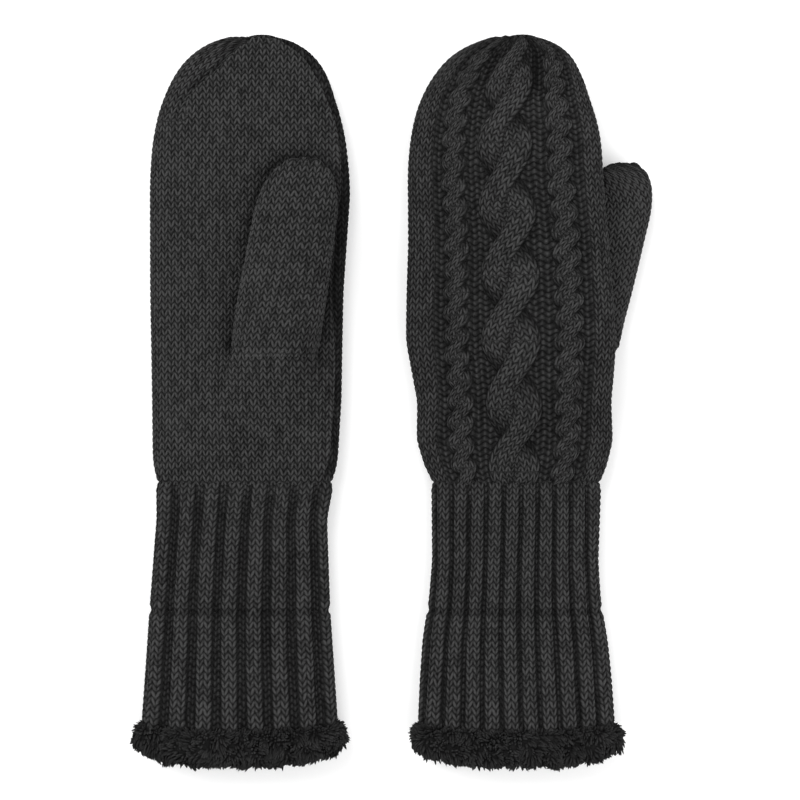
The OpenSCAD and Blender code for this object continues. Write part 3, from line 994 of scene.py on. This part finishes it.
class Shader:
    """One material and its nodes."""

    def __init__(self, name):
        self.material = bpy.data.materials.new(name)
        self.material.use_nodes = True
        self.tree = self.material.node_tree
        self.surface = self.tree.nodes["Principled BSDF"]

    def node(self, kind, settings=(), inputs=(), output=0):
        """Adds a node, sets it up and returns one of its outputs. Sockets go by identifier."""
        made = self.tree.nodes.new(kind)
        for key, value in dict(settings).items():
            setattr(made, key, value)
        for key, value in dict(inputs).items():
            socket = next(s for s in made.inputs if s.identifier == key)
            if isinstance(value, Wire):
                self.tree.links.new(value.socket, socket)
            else:
                socket.default_value = value
        return Wire(self, made.outputs[output])

    def reading(self, attribute):
        return self.node("ShaderNodeAttribute", {"attribute_name": attribute}, output="Fac")

    def noise(self, place, scale, detail=2.0):
        return self.node("ShaderNodeTexNoise", inputs={"Vector": place, "Scale": scale, "Detail": detail})

    def bump(self, height, strength, distance):
        return self.node("ShaderNodeBump",
                         inputs={"Height": height, "Strength": strength, "Distance": distance})

    def mix(self, factor, first, second):
        return self.node("ShaderNodeMix", {"data_type": "RGBA", "clamp_factor": True},
                         {"Factor_Float": factor, "A_Color": first[:] + (1,), "B_Color": second[:] + (1,)},
                         output=2)

    def finish(self, **sockets):
        """Sets the surface's sockets, given with underscores for spaces."""
        for key, value in sockets.items():
            socket = self.surface.inputs[key.replace("_", " ")]
            if isinstance(value, Wire):
                self.tree.links.new(value.socket, socket)
            else:
                socket.default_value = value
        return self.material


def knit_material(colours):
    """Matt charcoal yarn: painted shade between its loops, a faint heather, twisted plies, loose fibres."""
    s = Shader("charcoal_yarn")
    place = s.node("ShaderNodeTexCoord", output="Object")
    stitches = s.node("ShaderNodeUVMap", {"uv_map": "stitches"})
    u = s.node("ShaderNodeSeparateXYZ", inputs={"Vector": stitches}, output="X")
    v = s.node("ShaderNodeSeparateXYZ", inputs={"Vector": stitches}, output="Y")
    is_purl = s.reading("purl")
    slack = s.noise(place, 190.0)
    u = u + 0.36 * (slack - 0.5)
    v = v + 0.85 * (s.noise(place, 140.0) - 0.5)
    across = abs(u.part() - 0.5)
    climb = v - across * STITCH_LEAN
    leg = abs(climb.part() * 2 - 1)
    beside = abs(across * 4 - 1) ** 1.7
    loops = (1 - 0.92 * leg ** 2.2) * (1 - beside * (0.45 + 0.55 * leg))
    wave = abs((v + 0.25 * (u * 2 * math.pi + math.pi / 2).sine()).part() * 2 - 1)
    bars = (1 - wave ** 2.2) * (0.72 + 0.28 * (u * 4 * math.pi + math.pi / 2).sine())
    # The loops' shape, used both as painted shade between the loops and as bump height
    loop_shade_and_height = loops + is_purl * (bars - loops)
    cell = s.node("ShaderNodeCombineXYZ", inputs={"X": (u * 2).floor(), "Y": climb.floor()})
    each = s.node("ShaderNodeTexWhiteNoise", {"noise_dimensions": "2D"}, {"Vector": cell}, output="Value")
    heather = s.noise(place, 900.0, 3.0)
    blotch = s.noise(place, 55.0)
    fibre = s.noise(place, 2600.0)
    plies = (climb * 18.85 + across * 16.0).sine()
    # Painted light and shade from the light attribute and the loops, times each stitch's own tone and the
    # heather
    tone = (s.reading("light") * (0.04 + 0.96 * loop_shade_and_height) * (0.36 + 0.8 * each + 1.8 * (heather - 0.32))
            + 0.12 * (blotch - 0.5))
    bump = s.bump(loop_shade_and_height * 1.6 + plies * 0.3 + fibre * 0.9, 0.6, 0.0004)
    return s.finish(Base_Color=s.mix(tone, colours.crease_shade, colours.yarn), Roughness=0.95, Normal=bump,
                    Specular_IOR_Level=0.05)


def fleece_material(colours):
    """Near-black curly fleece, with painted light on the tips of its tufts and painted shade deep in its
    pile.
    """
    s = Shader("black_fleece")
    place = s.node("ShaderNodeTexCoord", output="Object")
    fuzz = s.noise(place, 1500.0, 3.0)
    clumps = s.noise(place, 240.0)
    # Painted light and shade from the light attribute, times the fuzz and the clumps
    tone = s.reading("light") * (0.35 + 0.9 * fuzz) * (0.5 + clumps)
    return s.finish(Base_Color=s.mix(tone, colours.fleece_deep, colours.fleece), Roughness=0.98,
                    Normal=s.bump(fuzz + 0.6 * clumps, 0.7, 0.0006), Specular_IOR_Level=0.04)


def seam_material(colours):
    """Twisted sewing yarn, a shade darker than the knit."""
    s = Shader("sewing_yarn")
    place = s.node("ShaderNodeTexCoord", output="Object")
    fibre = s.noise(place, 2200.0, 3.0)
    strands = s.node("ShaderNodeTexWave", {"bands_direction": "DIAGONAL"},
                     {"Vector": place, "Scale": 420.0, "Distortion": 2.0}, output=1)
    tone = 0.25 + 0.5 * strands * fibre
    return s.finish(Base_Color=s.mix(tone, colours.crease_shade, colours.yarn), Roughness=0.9,
                    Normal=s.bump(strands + 0.6 * fibre, 0.6, 0.0003), Specular_IOR_Level=0.05)


LOOKS = {"charcoal_knit": ("charcoal_yarn", knit_material),
         "fleece": ("black_fleece", fleece_material),
         "seam_yarn": ("sewing_yarn", seam_material)}


def dress(obj, slot_name):
    """Gives a piece the material of its slot, which is made on first use."""
    name, make = LOOKS[slot_name]
    made = bpy.data.materials.get(name) or make(bpy.context.scene.mitten_colours)
    obj.data.materials.clear()
    obj.data.materials.append(made)
    return obj


# ---- what the user can change

def colour_setting(name, description, tone):
    """A colour that can be changed, a neutral grey to start with."""
    return bpy.props.FloatVectorProperty(name=name, description=description, subtype="COLOR",
                                         size=3, min=0, max=1, default=(tone, tone, tone))


def length_setting(name, description, default, low, high):
    """A length that can be changed, in metres."""
    return bpy.props.FloatProperty(name=name, description=description, unit="LENGTH", precision=4,
                                   min=low, max=high, default=default)


class MittenColours(bpy.types.PropertyGroup):
    """Colours of the yarn and the fleece, and of the painted shade between the stitches and deep in the
    pile.
    """

    yarn: colour_setting("Yarn", "Colour on the crown of each stitch", 0.055)
    # Painted shade deep between the stitches
    crease_shade: colour_setting("Crease", "Colour deep between the stitches", 0.003)
    fleece: colour_setting("Fleece", "Colour of the curls' tops", 0.04)
    # Painted shade deep in the fleece
    fleece_deep: colour_setting("Fleece depth", "Colour deep in the fleece", 0.006)


class MittenSizes(bpy.types.PropertyGroup):
    """Sizes of the stitches and the pile."""

    wale: length_setting("Wale", "Width of one knitted stitch", 0.0032, 0.002, 0.006)
    course: length_setting("Course", "Height of one row of stitches", 0.0029, 0.002, 0.006)
    stitch_depth: length_setting("Stitch depth", "Relief of the plain knitting", 0.00105, 0.0003, 0.002)
    cable_pitch: length_setting("Cable pitch", "Distance between the cable's crossings", 0.0293, 0.02, 0.04)
    rope_pitch: length_setting("Rope pitch", "Distance between the ropes' crossings", 0.0098, 0.006, 0.014)
    pile_length: length_setting("Pile length", "Length of the fleece edge's tufts", 0.003, 0.002, 0.006)


def wrist_bend(obj, mitten):
    """Bakes a piece's transform into its points, without bending it at the wrist."""
    x, z = mitten.centre(WRIST_Y) * MM, HAND_T / 2 * MM
    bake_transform(obj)


def thumb_bend(obj, mitten):
    """Bakes a piece's transform into its points, without bending it into the thumb."""
    x, z = mitten.thumb_centre(CROTCH_Y) * MM, node_box(f"{mitten.name}_thumb")[0][2] * MM
    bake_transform(obj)


class MITTENS_OT_hands(bpy.types.Operator):
    """Knits the palm and the back of both mittens, with the gathers that close their tips"""
    bl_idname = "mittens.hands"
    bl_label = "Knit the hands"

    def execute(self, context):
        for mitten in MITTENS:
            for palm in (True, False):
                obj = dress(hand_panel(mitten, palm), "charcoal_knit")
                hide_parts(f"{mitten.name}_{'palm' if palm else 'back'}")
                wrist_bend(obj, mitten)
            obj = gather(f"{mitten.name}_tip_knot", mitten.tip() + (0, 0.9, 0), 5.5, 2.6, 8)
            dress(obj, "charcoal_knit")
            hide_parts(f"{mitten.name}_tip_gather")
            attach(obj, f"{mitten.name}_hand_body")
            obj = cord(f"{mitten.name}_side_stitches", side_path(mitten), up=(0, 0, 1), ring=False)
            dress(obj, "seam_yarn")
            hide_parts(f"{mitten.name}_side_seams")
            wrist_bend(obj, mitten)
        return {"FINISHED"}


class MITTENS_OT_thumbs(bpy.types.Operator):
    """Knits both thumbs, with their gathered tips and the ring of stitches at their roots"""
    bl_idname = "mittens.thumbs"
    bl_label = "Knit the thumbs"

    def execute(self, context):
        for mitten in MITTENS:
            obj = dress(thumb_tube(mitten), "charcoal_knit")
            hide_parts(f"{mitten.name}_thumb")
            thumb_bend(obj, mitten)
            last = thumb_wall(mitten, 20, 61, THUMB_INSET, CROTCH_Y)[0][-1].mean(axis=0)
            obj = gather(f"{mitten.name}_thumb_knot", last + (0, 0.5, 0), 3.2, 2.0, 6)
            dress(obj, "charcoal_knit")
            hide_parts(f"{mitten.name}_thumb_tip_gather")
            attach(obj, f"{mitten.name}_thumb_body")
            path = thumb_ring(mitten, CROTCH_Y - 1, 241, 2.6)[0]
            obj = dress(cord(f"{mitten.name}_thumb_stitches", path), "seam_yarn")
            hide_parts(f"{mitten.name}_thumb_seam")
            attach(obj, f"{mitten.name}_hand_body")
        return {"FINISHED"}


class MITTENS_OT_cuffs(bpy.types.Operator):
    """Knits both ribbed cuffs and sews their rings of stitches"""
    bl_idname = "mittens.cuffs"
    bl_label = "Knit the cuffs"

    def execute(self, context):
        for mitten in MITTENS:
            obj = dress(cuff_tube(mitten), "charcoal_knit")
            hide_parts(f"{mitten.name}_cuff")
            wrist_bend(obj, mitten)
            for y, inset, node in ((STITCH_LINE_Y + 0.8, 3.6, "lining_stitches"),
                                   (CUFF_END_Y + 1.4, 2.6, "trim_stitches")):
                path = mitten.ring([y], 480, inset)[0]
                path[:, 1] += end_droop(mitten, path[:, 0], path[:, 1])
                obj = cord(f"{mitten.name}_{node[:-9]}_cord", path, 0.75)
                dress(obj, "seam_yarn")
                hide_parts(f"{mitten.name}_{node}")
                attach(obj, f"{mitten.name}_cuff_body")
        return {"FINISHED"}


class MITTENS_OT_linings(bpy.types.Operator):
    """Makes the fleece linings of the hands, the thumbs and the cuffs"""
    bl_idname = "mittens.linings"
    bl_label = "Make the linings"

    def execute(self, context):
        for mitten in MITTENS:
            for make, node, bend in ((hand_lining, "hand_lining", wrist_bend),
                                     (cuff_lining, "cuff_lining", wrist_bend),
                                     (thumb_lining, "thumb_lining", thumb_bend)):
                obj = dress(make(mitten), "fleece")
                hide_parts(f"{mitten.name}_{node}")
                bend(obj, mitten)
        return {"FINISHED"}


class MITTENS_OT_fleece(bpy.types.Operator):
    """Makes the curly fleece edges"""
    bl_idname = "mittens.fleece"
    bl_label = "Turn out the fleece edges"

    def execute(self, context):
        for mitten in MITTENS:
            obj = dress(fleece_edge(mitten), "fleece")
            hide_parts(f"{mitten.name}_fleece_trim")
            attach(obj, f"{mitten.name}_cuff_body")
        return {"FINISHED"}


CAMERA_PLACE = (0.00345, 0.0007, 1.013)


class MITTENS_OT_stage(bpy.types.Operator):
    """Sets up the floor, the light and the camera"""
    bl_idname = "mittens.stage"
    bl_label = "Set the stage"

    def execute(self, context):
        bpy.ops.object.select_all(action="DESELECT")
        bpy.ops.mesh.primitive_plane_add(size=6, location=(0, 0, -0.0002))
        floor = bpy.context.object
        floor.name = "floor"
        paint = Shader("floor_paint")
        floor.data.materials.append(paint.finish(Base_Color=(0.95, 0.95, 0.95, 1), Roughness=1.0,
                                                 Emission_Color=(1, 1, 1, 1), Emission_Strength=0.2))
        world = bpy.data.worlds.new("studio")
        world.use_nodes = True
        sky = world.node_tree.nodes["Background"].inputs
        sky["Color"].default_value = (1, 1, 1, 1)
        sky["Strength"].default_value = 0.75
        context.scene.world = world
        for name, place, power, width in (("key", (-0.7, 0.9, 1.6), 22, 1.2),
                                          ("fill", (0.9, -0.4, 1.7), 12, 1.4)):
            x, y, z = place
            bpy.ops.object.light_add(type="AREA", location=place)
            lamp = bpy.context.object
            lamp.name = name
            lamp.data.energy = power
            lamp.data.size = width
            lamp.rotation_euler = (-math.atan2(y, z), math.atan2(x, z), 0)
        bpy.ops.object.camera_add(location=CAMERA_PLACE, rotation=(0, 0, 0))
        camera = bpy.context.object
        camera.data.lens = 97.8
        camera.data.sensor_width = 36
        context.scene.camera = camera
        context.scene.view_settings.view_transform = "Standard"
        return {"FINISHED"}


class MITTENS_PT_panel(bpy.types.Panel):
    """Lists the steps"""
    bl_label = "Mittens"
    bl_idname = "MITTENS_PT_panel"
    bl_space_type = "VIEW_3D"
    bl_region_type = "UI"
    bl_category = "Mittens"

    def draw(self, context):
        for group in (context.scene.mitten_sizes, context.scene.mitten_colours):
            for prop in type(group).bl_rna.properties:
                if not prop.is_readonly and prop.identifier != "name":
                    self.layout.prop(group, prop.identifier)
        for step in STEPS:
            self.layout.operator(step.bl_idname)


STEPS = (MITTENS_OT_hands, MITTENS_OT_thumbs, MITTENS_OT_cuffs, MITTENS_OT_linings, MITTENS_OT_fleece,
         MITTENS_OT_stage)
CLASSES = (MittenColours, MittenSizes) + STEPS + (MITTENS_PT_panel,)


def register():
    for cls in CLASSES:
        bpy.utils.register_class(cls)
    bpy.types.Scene.mitten_colours = bpy.props.PointerProperty(type=MittenColours)
    bpy.types.Scene.mitten_sizes = bpy.props.PointerProperty(type=MittenSizes)


def unregister():
    del bpy.types.Scene.mitten_colours
    del bpy.types.Scene.mitten_sizes
    for cls in reversed(CLASSES):
        bpy.utils.unregister_class(cls)


def main():
    register()
    for step in STEPS:
        group, action = step.bl_idname.split(".")
        getattr(getattr(bpy.ops, group), action)()


if __name__ == "__main__":
    main()
